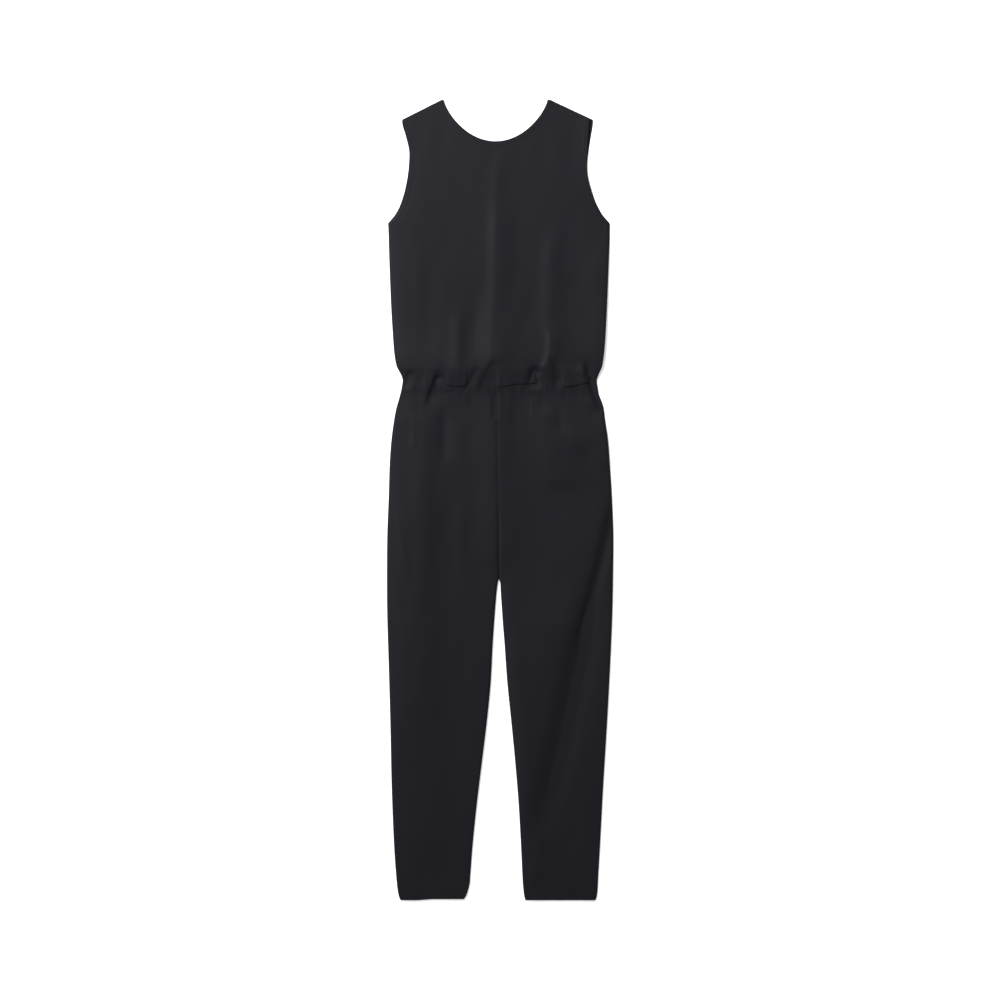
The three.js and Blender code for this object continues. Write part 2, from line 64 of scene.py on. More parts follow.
# Straight above the garment, with the lens that spans the picture: sensor x height / width.
def addCamera():
    camera = bpy.data.objects.new("camera", bpy.data.cameras.new("camera"))
    camera.location = (0, 0, photo["cameraHeight"])
    camera.data.sensor_width = photo["sensorMm"]
    span = photo["widthMm"] * metresPerMm
    camera.data.lens = photo["sensorMm"] * photo["cameraHeight"] / span
    camera.data.clip_end = photo["farClip"]
    bpy.context.scene.collection.objects.link(camera)
    bpy.context.scene.camera = camera


# A pale, matt square just under the cloth that glows a little.
def addFloor():
    half, level = studio["floorSize"] / 2, -studio["floorDrop"]
    corners = [(-half, -half, level), (half, -half, level), (half, half, level), (-half, half, level)]
    mesh = bpy.data.meshes.new("floor")
    mesh.from_pydata(corners, [], [(0, 1, 2, 3)])
    floor = bpy.data.objects.new("floor", mesh)
    bpy.context.scene.collection.objects.link(floor)
    paper = bpy.data.materials.new("paleFloor")
    paper.use_nodes = True
    shader = paper.node_tree.nodes["Principled BSDF"]
    shader.inputs["Base Color"].default_value = studio["floorColour"]
    shader.inputs["Roughness"].default_value = studio["floorRoughness"]
    shader.inputs["Specular IOR Level"].default_value = 0
    shader.inputs["Emission Color"].default_value = studio["glowColour"]
    shader.inputs["Emission Strength"].default_value = studio["floorGlow"]
    mesh.materials.append(paper)


# One round lamp turned towards the garment's middle, and an even, slightly cool sky.
def addLight():
    scene = bpy.context.scene
    light = bpy.data.lights.new("keyLight", "AREA")
    light.shape = "DISK"
    light.size = studio["keySize"]
    light.energy = studio["keyWatts"]
    key = bpy.data.objects.new("keyLight", light)
    key.location = studio["keyPlace"]
    key.rotation_euler = (-Vector(studio["keyPlace"])).to_track_quat("-Z", "Y").to_euler()
    scene.collection.objects.link(key)
    sky = bpy.data.worlds.new("softRoom")
    sky.use_nodes = True
    sky.node_tree.nodes["Background"].inputs["Color"].default_value = studio["skyColour"]
    sky.node_tree.nodes["Background"].inputs["Strength"].default_value = studio["skyStrength"]
    scene.world = sky
    scene.view_settings.view_transform = "Standard"
    scene.view_settings.look = "None"


addCamera()
addFloor()
addLight()
print("camera, floor and light set")

# The garment's measures

shoulderY, shoulderTipY, underarmY = 720, 684.6, 498
casingTopY, casingBottomY = 219, 191
crotchY, hemY = -142.5, -720

cloth = {
    "thickness": 0.6,
    "bed": 0.9,  # the front's cloth lies at least this high, on the back
    "leftRadius": 26,  # how soon the front rises from a seam on its left
    "rightRadius": 4,
    "backNeckExtra": 4,  # the back neckline is this much deeper
    "bandWidth": 7.5,  # neck and armhole edges are turned under this far
    "bandExtra": 0.12,
    "bandStep": 1,  # the band's thickness fades out over this
    "mapShift": 500,  # keeps the cloth's own map clear of zero
}
inset = cloth["thickness"] / 2  # a grid's border lies this far inside its piece's edge
frontLevel = cloth["bed"] + inset  # the middle of the front's cloth where it lies lowest

neck = {"middle": -7.9, "halfWidth": 93.6, "drop": 74.5, "exponent": 1.33}
shoulders = {"leftStart": -105.6, "rightStart": 91.3, "left": -175.9, "right": 167.2, "frontRight": 161.4}

# Where the bodice front's sides change from seams to open edges, what fills out the lip of its
# blouse, and how the cloth stands off the back beside the upper right armhole
bodiceShape = {
    "drawsInY": 470,  # from here up the front's right edge leaves the side seam
    "openEdgeY": (480, 540),
    "leftOpenRise": 0.5,  # share of the full height at the left armhole's edge
    "lipY": (212, 250),
    "lipSlack": 1.5,
    "lipGap": 0.3,
    "armLift": 0.9,
    "armLiftWidth": 18,
    "armLiftY": (540, 640),
}

# y, left and right of the side seams
sideSeams = np.array([
    (498, -201.4, 198),
    (477, -200.7, 197.7),
    (423, -199.1, 195.8),
    (351, -196.2, 193),
    (297, -193, 190.3),
    (269, -190.9, 188.2),
    (254, -189, 186.4),
    (240, -185.9, 183.9),
    (226, -178.5, 177.9),
    (217, -175.4, 174.6),
    (210, -175.7, 174.6),
    (200, -177.4, 176.3),
    (190, -179.7, 178),
    (176, -183.5, 183.4),
    (165, -186.7, 186.6),
    (145, -190.5, 189.2),
    (108, -195.5, 194.6),
    (63, -198.7, 198),
    (9, -200.3, 201.4),
    (-63, -203, 204.1),
    (-135, -203.6, 203.6),
    (-207, -203.1, 202.2),
    (-297, -200.4, 198.4),
    (-405, -197.4, 192.6),
    (-513, -195.1, 186),
    (-621, -190.8, 180.2),
    (-678, -186.8, 176.9),
    (-700, -184.4, 175.8),
    (-714, -181.7, 174),
    (-720, -178.9, 171.8),
])

# y, left, right and the front's right of the armhole edges
armholes = np.array([
    (684.6, -175.9, 167.2, 161.4),
    (679, -176.1, 167.4, 160.6),
    (669, -174, 166.2, 160),
    (658, -170.4, 164.2, 158.8),
    (629, -163.6, 159.7, 157),
    (604, -163.9, 157.1, 156),
    (582, -166.3, 158.5, 157.8),
    (557, -171.2, 165, 164.2),
    (539, -176.5, 171.2, 169.8),
    (524.7, -182.1, 177.9, 175.6),
    (512, -189.7, 185.6, 182.6),
    (498, -201.4, 198, 195.4),
])

# y, left leg and right leg of the inner leg seams
innerLegs = np.array([
    (-142.5, -2.8, -1),
    (-149, -3.9, 0.5),
    (-163, -5.7, 1.1),
    (-187, -7.9, 2.7),
    (-223, -10.6, 5.2),
    (-259, -13, 8.1),
    (-331, -16.9, 13.3),
    (-403, -24.1, 20.7),
    (-475, -32.9, 27.6),
    (-547, -41.6, 33.5),
    (-619, -49, 37.6),
    (-678, -53.5, 40.4),
    (-692, -54.6, 41.2),
    (-712, -60, 43.5),
    (-720, -64.6, 45.5),
])

centreSeam = np.array([(720, -7.9), (219, -6.2), (108, -4.6), (0, -3.2), (-142.5, -1.9)])

# y and how high the slack cloth of the front lies
bodiceSlack = np.array([
    (720, 0.7), (600, 1.4), (480, 2), (340, 3.3), (290, 4.8), (262, 5.6), (248, 5.6), (236, 5.2), (219, 3.2),
    (200, 1.4),
])
lowerSlack = np.array([
    (248, 5.6), (236, 5.2), (219, 3.2), (205, 2), (191, 0.6), (180, 0.3), (168, 0.4), (150, 0.9), (60, 2.7),
    (-140, 3.3), (-330, 3.2), (-520, 2.7), (-680, 1.9), (-720, 1.2),
])

# Soft folds: topX, topY, endX, endY, bow to the right, left and right half widths,
# rise (a trough's is negative), and the share of the length over which each end fades
bodiceFolds = [
    (-1, 660, -11, 360, -2, 11, 14, 0.6, 0.3),
    (-6, 560, -18, 198, 3, 14, 30, 2, 0.22),
    (-47, 420, -50, 226, 0, 22, 14, -1.5, 0.35),
    (94, 500, 90, 246, -3, 14, 22, 1.5, 0.25),
    (-108, 450, -108, 320, 0, 12, 14, 0.5, 0.35),
    (-150, 480, -152, 285, 0, 30, 14, 0.9, 0.3),
    (186, 480, 184, 222, 0, 32, 14, 1.8, 0.3),
]

# Sharper folds that the waist pulls into the bodice's lower edge
bodicePleats = [
    (-75, 350, -77, 200, 0, 14, 10, 1.4, 0.35),
    (-38, 244, -67, 192, 0, 4, 8, -1, 0.25),
    (-2, 256, -36, 188, -5, 6, 32, -1.8, 0.25),
    (65, 245, 55, 197, 0, 8, 13, -5.5, 0.34),
    (87, 312, 58, 208, 15, 7, 20, 1.9, 0.25),
    (97, 264, 106, 192, 0, 8, 10, -2.2, 0.35),
]

# Creases that run across the casing into the cloth on both sides of it
waistCreases = [
    (75, 212, -200, 212, 0, 64, 48, 2.8, 0.35),
    (-160, 236, -175, 198, 0, 4, 9, -1.9, 0.25),
    (-102, 225, -121, 216, 0, 3.5, 8, -1.5, 0.3),
    (-113, 242, -141, 160, 0, 16, 5, 1.5, 0.45),
    (-106, 244, -134, 164, 0, 4.5, 26, -2.7, 0.42),
    (-83, 194, -101, 193, 0, 2.5, 4, -0.5, 0.3),
    (-10, 200, -11, 140, 0, 4, 7, -1.2, 0.3),
    (146, 252, 180, 156, -5, 16, 4.5, 2, 0.25),
    (154, 255, 189, 154, -5, 5.5, 6, -3, 0.22),
]

trouserFolds = [
    (-134, 186, -141, -210, 0, 24, 24, 2.3, 0.15),
    (-166, 120, -172, -500, 0, 24, 50, 2.3, 0.25),
    (-143, -120, -140, -700, 0, 32, 42, 2.1, 0.2),
    (-24, -190, -58, -700, 0, 26, 20, 0.8, 0.2),
    (-157, 158, -156, 82, 0, 5, 8, 0.7, 0.3),
    (-190, -5, -163, -155, 0, 7, 9, 0.8, 0.3),
    (-101, 185, -100, 58, 0, 9, 12, -1.6, 0.35),
    (-72, 165, -72, 20, 0, 14, 14, 0.5, 0.3),
    (-70, 10, -70, -155, 0, 11, 12, 0.8, 0.25),
    (-12, 212, -8, -135, 0, 26, 34, 2.2, 0.15),
    (-160, 196, -168, 118, 0, 20, 26, 0.9, 0.45),
    (58, 190, 59, 140, 0, 4, 12, 0.7, 0.35),
    (82, 182, 110, 8, -8, 22, 36, 1.8, 0.2),
    (198, 118, 195, 48, 0, 24, 20, 1.5, 0.4),
    (106, 188, 110, 108, 0, 12, 10, -0.9, 0.4),
    (240, 134, 84, 98, 0, 36, 26, 2.2, 0.34),
    (196, 20, 121, -285, 1, 56, 12, 2.2, 0.22),
    (213, 20, 136, -285, 1, 10, 13, -2.9, 0.22),
    (16, -190, 46, -640, 0, 16, 50, 1.4, 0.25),
    (144, -130, 32, -620, 3, 80, 22, 3.3, 0.25),
    (176, -130, 64, -620, 3, 25, 38, -3.9, 0.25),
    (208, -130, 112, -580, 2, 15, 26, 0.8, 0.2),
    (76, -585, 56, -697, 0, 9, 16, 1, 0.25),
]

gatherCore = 0.35  # share of a gather's reach over which it keeps its whole depth

# Gathers at the waist: x, lean, half width, depth, reach up and reach down
gathers = [
    (-147, -2, 6, 0.4, 20, 70),
    (-84, 3, 6, 0.3, 20, 52),
    (-50, 3, 6, 0.4, 20, 60),
    (8, -2, 6, 0.3, 20, 60),
    (28, 1, 8, 0.5, 18, 120),
    (44, 2, 5, 0.4, 24, 50),
    (76, 0, 6, 0.3, 20, 64),
    (118, 1, 6, 0.3, 22, 30),
    (137, -4, 6, 0.4, 26, 36),
]

# x, how far the blouse hangs down over the casing, and how much of a lip it has there
blouseLip = np.array([
    (176, 6, 0), (165, 8, 0.3), (158, 9, 0.8), (150, 10, 1), (136, 13, 1), (118, 15.5, 1), (110, 14, 0.4),
    (104, 12, 0), (90, 9, 0), (76, 8, 0), (69, 8, 0.3), (62, 9, 1), (50, 10, 1), (30, 10.5, 1), (12, 13.5, 1),
    (0, 15.5, 1), (-8, 15, 0.4), (-16, 15, 0), (-34, 16, 0), (-50, 14, 0), (-57, 13.5, 0.4),
    (-63, 14, 1), (-80, 14.5, 1), (-92, 13.5, 1), (-99, 11, 0.5), (-106, 8, 0), (-150, 3, 0), (-176, 3, 0),
])


# A smooth curve through one column of a table whose first column goes down: cubics between
# the rows, with each row's slope taken across its two neighbours.
def along(table, at, column=1):
    keys, values = table[:, 0], table[:, column]
    before = np.maximum(np.arange(len(keys)) - 1, 0)
    after = np.minimum(np.arange(len(keys)) + 1, len(keys) - 1)
    slopes = (values[after] - values[before]) / (keys[after] - keys[before])
    row = np.clip(np.searchsorted(-keys, -np.asarray(at, float), "right") - 1, 0, len(keys) - 2)
    span = keys[row + 1] - keys[row]
    t = np.clip((at - keys[row]) / span, 0, 1)
    blend = t * t * (3 - 2 * t)
    bend = slopes[row] * t * (1 - t) ** 2 - slopes[row + 1] * t * t * (1 - t)
    return values[row] + (values[row + 1] - values[row]) * blend + span * bend


# 0 below low, 1 above high, and 3t^2 - 2t^3 between them.
def smoothStep(value, low, high):
    t = np.clip((value - low) / (high - low), 0, 1)
    return t * t * (3 - 2 * t)


# The same down the garment: 0 above fromY, 1 below toY.
def stepDown(y, fromY, toY):
    return smoothStep(-y, -fromY, -toY)


# Outline at a height: the armhole's table above the underarm and the side seam's below it.
def leftEdge(y):
    return np.where(y > underarmY, along(armholes, y, 1), along(sideSeams, y, 1))


# The same on the right, which is the back's edge beside the armhole.
def rightEdge(y):
    return np.where(y > underarmY, along(armholes, y, 2), along(sideSeams, y, 2))


# The front's own right edge: it draws in from the side seam just below the armhole.
def frontRightEdge(y):
    nearArm = smoothStep(y, bodiceShape["drawsInY"], underarmY)
    below = along(sideSeams, y, 2) - nearArm * (sideSeams[0, 2] - armholes[-1, 3])
    return np.where(y > underarmY, along(armholes, y, 3), below)


# The centre front seam, which wanders a little.
def centreX(y):
    return along(centreSeam, y)


# Scooped neckline between two straight shoulder seams: y = top - drop (1 - across^2)^(1/e).
def upperEdge(x, leftTip, rightTip, drop):
    across = (x - neck["middle"]) / neck["halfWidth"]
    scoop = shoulderY - drop * np.clip(1 - across**2, 0, 1) ** (1 / neck["exponent"])
    toLeft = (x - shoulders["leftStart"]) / (leftTip - shoulders["leftStart"])
    toRight = (x - shoulders["rightStart"]) / (rightTip - shoulders["rightStart"])
    slope = shoulderY + (shoulderTipY - shoulderY) * np.maximum(0, np.maximum(toLeft, toRight))
    return np.where(np.abs(across) < 1, scoop, slope)


# A quarter round, 0 at the front's own edge, half a thickness inside the seam, and 1 from the
# radius on.
def seamRise(distance, side):
    t = np.clip((distance - inset) / cloth[side], 0, 1)
    return np.sqrt(1 - (1 - t) ** 2)


# A bell across each fold's line, with its own half width on each flank, fading at both ends.
def foldHeight(rows, x, y):
    height = np.zeros_like(x)
    for topX, topY, endX, endY, bow, left, right, rise, fade in rows:
        lineX, lineY = endX - topX, endY - topY
        length = np.hypot(lineX, lineY)
        t = ((x - topX) * lineX + (y - topY) * lineY) / length**2
        toRight = (lineX * (y - topY) - lineY * (x - topX)) / length
        toRight = toRight - 4 * bow * t * (1 - t)
        bell = np.exp(-((toRight / np.where(toRight < 0, left, right)) ** 2))
        height += rise * bell * smoothStep(t, 0, fade) * (1 - smoothStep(t, 1 - fade, 1))
    return height


# A trough for each gather, deepest over the casing and fading above and below it.
def gatherHeight(rows, x, y):
    height = np.zeros_like(x)
    rise = y - (casingTopY + casingBottomY) / 2
    for middle, lean, halfWidth, depth, reachUp, reachDown in rows:
        centre = middle + lean * np.clip(rise / reachDown, -1, 1)
        reach = np.where(rise > 0, reachUp, reachDown)
        fade = 1 - smoothStep(np.abs(rise), reach * gatherCore, reach)
        height -= depth * np.exp(-(((x - centre) / halfWidth) ** 2)) * fade
    return height


pucker = {
    "seed": 7,
    "count": 44,
    "span": (-170, 168),
    "stray": 3,  # either way from even spacing
    "lean": 3,
    "halfWidth": (1.8, 3.4),
    "depth": (0.08, 0.3),
    "reach": (12, 34),
}


# Small puckers between the gathers, spread unevenly along the waist.
def puckerRows():
    draw = np.random.default_rng(pucker["seed"])
    count, stray, lean = pucker["count"], pucker["stray"], pucker["lean"]
    places = np.linspace(*pucker["span"], count) + draw.uniform(-stray, stray, count)
    return list(zip(
        places,
        draw.uniform(-lean, lean, count),
        draw.uniform(*pucker["halfWidth"], count),
        draw.uniform(*pucker["depth"], count),
        draw.uniform(*pucker["reach"], count),
        draw.uniform(*pucker["reach"], count),
    ))


puckers = puckerRows()

handling = {"seed": 11, "waves": 14, "height": 0.05, "lengths": (34, 120), "tilt": 0.5, "stretch": 4}


# The low unevenness of handled cloth: a sum of long waves, most of them upright stripes.
def handledHeight(x, y):
    draw = np.random.default_rng(handling["seed"])
    height = np.zeros_like(x)
    for _ in range(handling["waves"]):
        phase = draw.uniform(0, 2 * np.pi)
        tilt = draw.uniform(-handling["tilt"], handling["tilt"])
        length = draw.uniform(*handling["lengths"])
        weight = np.sin(y / (handling["stretch"] * length) + 2 * phase)
        height += weight * np.sin(2 * np.pi * (x + y * tilt) / length + phase)
    return handling["height"] * height


# Keeps a height above zero with a soft corner.
def softFloor(height, corner=0.2):
    return (height + np.sqrt(height**2 + corner**2)) / 2


# Height of any front cloth over the bed: its slack, folds and gathers, times the round at its
# seams.
def frontLift(x, y, seamRound, slack, folds):
    shape = slack + foldHeight(folds + waistCreases, x, y) + handledHeight(x, y)
    shape = shape + gatherHeight(gathers, x, y) + gatherHeight(puckers, x, y)
    return softFloor(seamRound * shape)


# How much of a lip the blouse has at x, from 0, where it runs straight into the casing, to 1.
def lipShare(x, low=0.3, high=1):
    return smoothStep(along(blouseLip, x, 2), low, high)


# Height of the bodice over the bed: slack and folds, held up by the layers rolled under it.
def bodiceLift(x, y):
    shape = bodiceShape
    openEdge = smoothStep(y, *shape["openEdgeY"])
    leftRound = np.maximum(seamRise(x - leftEdge(y), "leftRadius"), shape["leftOpenRise"] * openEdge)
    rightRound = np.maximum(seamRise(frontRightEdge(y) - x, "rightRadius"), openEdge)
    nearLip = lipShare(x) * (1 - smoothStep(y, *shape["lipY"]))
    slack = along(bodiceSlack, y) + shape["lipSlack"] * nearLip
    lift = frontLift(x, y, np.minimum(leftRound, rightRound), slack, bodiceFolds + bodicePleats)
    underLayers = nearLip * (2 * cloth["thickness"] + shape["lipGap"])
    nearArm = np.exp(-((x - shoulders["frontRight"]) / shape["armLiftWidth"]) ** 2)
    armLift = shape["armLift"] * nearArm * smoothStep(y, *shape["armLiftY"])
    return underLayers + softFloor(lift - underLayers) + armLift


# Height of the front casing over the bed, which comes down to the back at both side seams.
def casingLift(x, y):
    leftRound = seamRise(x - leftEdge(y), "leftRadius")
    seamRound = np.minimum(leftRound, seamRise(rightEdge(y) - x, "rightRadius"))
    return frontLift(x, y, seamRound, along(lowerSlack, y), bodicePleats)


# A leg's inner edge: the centre seam above the crotch and the inner leg seam below it.
def innerEdge(y, side):
    column = 1 if side < 0 else 2
    return np.where(y < crotchY, along(innerLegs, y, column), centreX(y))


centreDip = {
    "share": 0.1,  # of the cloth's height that is lost on the centre seam
    "moreShare": 0.22,  # what adds to it towards the crotch
    "deepensY": (20, -130),
    "halfWidth": 3.2,
    "endsY": (-115, -160),  # over this the inner leg seam takes over
}


# Height of a trouser front over the bed: it dips a little along the centre seam, more towards
# the crotch, and comes down to the back leg at both of the leg's own seams.
def trouserLift(x, y, side):
    outer = x - leftEdge(y) if side < 0 else rightEdge(y) - x
    inner = np.abs(x - innerEdge(y, side))
    radii = ["leftRadius", "rightRadius"][::-side]
    dip = centreDip["share"] + centreDip["moreShare"] * stepDown(y, *centreDip["deepensY"])
    seamDip = 1 - dip * np.exp(-((inner / centreDip["halfWidth"]) ** 2))
    joined = stepDown(y, *centreDip["endsY"])
    innerRound = seamDip + (seamRise(inner, radii[1]) - seamDip) * joined
    seamRound = np.minimum(seamRise(outer, radii[0]), innerRound)
    return frontLift(x, y, seamRound, along(lowerSlack, y), trouserFolds)


# Materials

crepe = {
    "dark": (0.0056, 0.0049, 0.008, 1),
    "light": (0.0072, 0.0063, 0.0102, 1),
    "specular": 0.16,
    "sheen": 0.02,
    "sheenRoughness": 0.5,
    "roughness": (0.52, 0.66),
    "pebblePitch": 0.0009,
    "pebbleDetail": 3,
    "pebbleRoughness": 0.62,
    "patchScale": 14,
    "patchDetail": 4,
    "bumpDepth": 0.00012,
    "bumpStrength": 0.5,
}


# An empty shader group with named inputs, each with its kind and first value, and outputs.
def newGroup(name, inputs, outputs):
    group = bpy.data.node_groups.new(name, "ShaderNodeTree")
    for label, kind, value in inputs:
        socket = group.interface.new_socket(label, in_out="INPUT", socket_type=kind)
        if value is not None:
            socket.default_value = value
    for label, kind in outputs:
        group.interface.new_socket(label, in_out="OUTPUT", socket_type=kind)
    return group, group.nodes.new("NodeGroupInput"), group.nodes.new("NodeGroupOutput")


# Crepe's pebbles, as noise whose scale is 1 / pitch, and a slow patchiness of its colour.
def crepeWeave():
    group, given, result = newGroup(
        "crepeWeave",
        [("Vector", "NodeSocketVector", None), ("Pitch", "NodeSocketFloat", crepe["pebblePitch"])],
        [("Height", "NodeSocketFloat"), ("Patch", "NodeSocketFloat")],
    )
    nodes, links = group.nodes, group.links
    density = nodes.new("ShaderNodeMath")
    density.operation = "DIVIDE"
    density.inputs[0].default_value = 1
    links.new(given.outputs["Pitch"], density.inputs[1])
    pebble = nodes.new("ShaderNodeTexNoise")
    pebble.inputs["Detail"].default_value = crepe["pebbleDetail"]
    pebble.inputs["Roughness"].default_value = crepe["pebbleRoughness"]
    links.new(given.outputs["Vector"], pebble.inputs["Vector"])
    links.new(density.outputs[0], pebble.inputs["Scale"])
    patch = nodes.new("ShaderNodeTexNoise")
    patch.inputs["Scale"].default_value = crepe["patchScale"]
    patch.inputs["Detail"].default_value = crepe["patchDetail"]
    links.new(given.outputs["Vector"], patch.inputs["Vector"])
    links.new(pebble.outputs["Fac"], result.inputs["Height"])
    links.new(patch.outputs["Fac"], result.inputs["Patch"])
    return group


weaveGroup = crepeWeave()


# A new material with its nodes, links and shader, and the place on the piece's own cloth map.
def startMaterial(name):
    material = bpy.data.materials.new(name)
    material.use_nodes = True
    nodes, links = material.node_tree.nodes, material.node_tree.links
    place = nodes.new("ShaderNodeUVMap")
    place.uv_map = "cloth"
    return material, nodes, links, nodes["Principled BSDF"], place.outputs["UV"]


# The shader's colour goes from dark to light with one mask, and its bump follows a height.
def dressShader(nodes, links, shader, look, mask, height):
    colour = nodes.new("ShaderNodeMix")
    colour.data_type = "RGBA"
    colour.inputs["A"].default_value = look["dark"]
    colour.inputs["B"].default_value = look["light"]
    links.new(mask, colour.inputs["Factor"])
    links.new(colour.outputs["Result"], shader.inputs["Base Color"])
    bump = nodes.new("ShaderNodeBump")
    bump.inputs["Strength"].default_value = look["bumpStrength"]
    bump.inputs["Distance"].default_value = look["bumpDepth"]
    links.new(height, bump.inputs["Height"])
    links.new(bump.outputs["Normal"], shader.inputs["Normal"])
    shader.inputs["Specular IOR Level"].default_value = look["specular"]


# Crepe: the pebbles carry the bump and the roughness, the patches carry the colour.
def clothMaterial(name):
    material, nodes, links, shader, place = startMaterial(name)
    weave = nodes.new("ShaderNodeGroup")
    weave.node_tree = weaveGroup
    links.new(place, weave.inputs["Vector"])
    dressShader(nodes, links, shader, crepe, weave.outputs["Patch"], weave.outputs["Height"])
    rough = nodes.new("ShaderNodeMapRange")
    rough.inputs["To Min"].default_value = crepe["roughness"][0]
    rough.inputs["To Max"].default_value = crepe["roughness"][1]
    links.new(weave.outputs["Height"], rough.inputs["Value"])
    links.new(rough.outputs["Result"], shader.inputs["Roughness"])
    shader.inputs["Sheen Weight"].default_value = crepe["sheen"]
    shader.inputs["Sheen Roughness"].default_value = crepe["sheenRoughness"]
    return material


thread = {
    "dark": (0.005, 0.0045, 0.0068, 1),
    "light": (0.0084, 0.0076, 0.0108, 1),
    "specular": 0.25,
    "roughness": 0.55,
    "twistScale": 100,  # at this scale the slanting bands lie 4.4 mm apart
    "bumpDepth": 0.00006,
    "bumpStrength": 1,
}


# Thread: slow slanting bands give each stitch its own shade and a slight bump.
def threadMaterial(name):
    material, nodes, links, shader, place = startMaterial(name)
    twist = nodes.new("ShaderNodeTexWave")
    twist.bands_direction = "DIAGONAL"
    twist.inputs["Scale"].default_value = thread["twistScale"]
    links.new(place, twist.inputs["Vector"])
    dressShader(nodes, links, shader, thread, twist.outputs["Fac"], twist.outputs["Fac"])
    shader.inputs["Roughness"].default_value = thread["roughness"]
    return material


clothLook = clothMaterial("blackCrepe")
threadLook = threadMaterial("blackThread")


# Cloth shells

# A wall of cloth about a grid of points: each face is the grid moved half the thickness along
# its normals, and the rim between them bulges out by the same half, so cut edges are rounded.
def shellArrays(grid, thickness):
    down = np.gradient(grid, axis=0)
    across = np.gradient(grid, axis=1)
    normal = np.cross(down, across)
    normal /= np.linalg.norm(normal, axis=2, keepdims=True)
    half = np.broadcast_to(thickness, grid.shape[:2])[..., None] / 2
    outer, inner = grid + normal * half, grid - normal * half
    rows, columns = grid.shape[:2]
    ring = np.concatenate([
        np.stack([np.zeros(columns - 1, int), np.arange(columns - 1)], 1),
        np.stack([np.arange(rows - 1), np.full(rows - 1, columns - 1)], 1),
        np.stack([np.full(columns - 1, rows - 1), np.arange(columns - 1, 0, -1)], 1),
        np.stack([np.arange(rows - 1, 0, -1), np.zeros(rows - 1, int)], 1),
    ])
    r, c = ring[:, 0], ring[:, 1]
    outward = grid[r, c] - grid[np.clip(r, 1, rows - 2), np.clip(c, 1, columns - 2)]
    outward /= np.linalg.norm(outward, axis=1, keepdims=True)
    rim = grid[r, c] + outward * half[r, c]
    points = np.concatenate([outer.reshape(-1, 3), inner.reshape(-1, 3), rim])
    index = np.arange(rows * columns).reshape(rows, columns)
    corners = [index[:-1, :-1], index[1:, :-1], index[1:, 1:], index[:-1, 1:]]
    top = np.stack(corners, -1).reshape(-1, 4)
    under = top[:, ::-1] + rows * columns
    edge = index[r, c]
    nextEdge = np.roll(edge, -1)
    rimIndex = 2 * rows * columns + np.arange(len(edge))
    nextRim = np.roll(rimIndex, -1)
    upperRim = np.stack([edge, nextEdge, nextRim, rimIndex], 1)
    lowerRim = np.stack([rimIndex, nextRim, nextEdge + rows * columns, edge + rows * columns], 1)
    return points, np.concatenate([top, under, upperRim, lowerRim]), ring


# The cloth's own place: x across, and the length along the cloth down each column.
def clothUv(grid, ring):
    steps = np.linalg.norm(np.diff(grid, axis=0), axis=2)
    length = np.concatenate([np.zeros((1, grid.shape[1])), np.cumsum(steps, axis=0)])
    flat = np.stack([grid[..., 0] + cloth["mapShift"], length], -1) * metresPerMm
    plain = flat.reshape(-1, 2)
    return np.concatenate([plain, plain, flat[ring[:, 0], ring[:, 1]]])


# A smooth piece from points in millimetres, faces as rows of point numbers, and one place on
# its map for each point.
def makeMesh(name, points, faces, uv, material):
    mesh = bpy.data.meshes.new(name)
    mesh.vertices.add(len(points))
    mesh.vertices.foreach_set("co", (points * metresPerMm).astype(np.float32).ravel())
    mesh.loops.add(faces.size)
    mesh.loops.foreach_set("vertex_index", faces.astype(np.int32).ravel())
    mesh.polygons.add(len(faces))
    mesh.polygons.foreach_set("loop_start", np.arange(0, faces.size, faces.shape[1], dtype=np.int32))
    mesh.update(calc_edges=True)
    mesh.validate()
    mesh.polygons.foreach_set("use_smooth", np.ones(len(mesh.polygons), bool))
    layer = mesh.uv_layers.new(name="cloth")
    layer.data.foreach_set("uv", uv[faces.ravel()].astype(np.float32).ravel())
    mesh.materials.append(material)
    piece = bpy.data.objects.new(name, mesh)
    bpy.context.scene.collection.objects.link(piece)
    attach(piece, "root")
    return piece


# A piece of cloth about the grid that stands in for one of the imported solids.
def addCloth(name, node, grid, thickness):
    points, faces, ring = shellArrays(grid, thickness)
    piece = makeMesh(name, points, faces, clothUv(grid, ring), clothLook)
    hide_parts(node)
    print("cloth:", name, len(faces) * 2, "triangles")
    return piece


# A row and a column more just inside each border, so that the rim's round shading stays narrow.
def withBorders(grid, share=0.12):
    for _ in range(2):
        first = grid[:1] + share * (grid[1:2] - grid[:1])
        last = grid[-1:] + share * (grid[-2:-1] - grid[-1:])
        grid = np.concatenate([grid[:1], first, grid[1:-1], last, grid[-1:]]).swapaxes(0, 1)
    return grid


# Fractions or lengths over unequal spans, each cut into its own number of steps.
def spans(stops, counts):
    parts = [np.linspace(a, b, n, endpoint=False) for a, b, n in zip(stops, stops[1:], counts)]
    return np.concatenate([*parts, stops[-1:]])


# Distance from each point to the nearest point of a curve given as an array of points, which
# is taken in a few parts to save memory.
def distanceTo(curve, x, y, parts=8):
    nearest = np.full(x.shape, np.inf)
    for part in np.array_split(curve, parts):
        gap = np.hypot(x[..., None] - part[:, 0], y[..., None] - part[:, 1])
        nearest = np.minimum(nearest, gap.min(axis=-1))
    return nearest


# The neckline from left to right, with its points close together at the steep ends.
def neckCurve(count=240):
    x = neck["middle"] - neck["halfWidth"] * np.cos(np.linspace(0, np.pi, count))
    return np.stack([x, upperEdge(x, shoulders["left"], shoulders["frontRight"], neck["drop"])], 1)


# An armhole's edge from the shoulder down to the underarm.
def armCurve(edge, count=160):
    y = np.linspace(shoulderTipY, underarmY, count)
    return np.stack([edge(y), y], 1)


openEdges = np.concatenate([neckCurve(), armCurve(leftEdge), armCurve(frontRightEdge)])

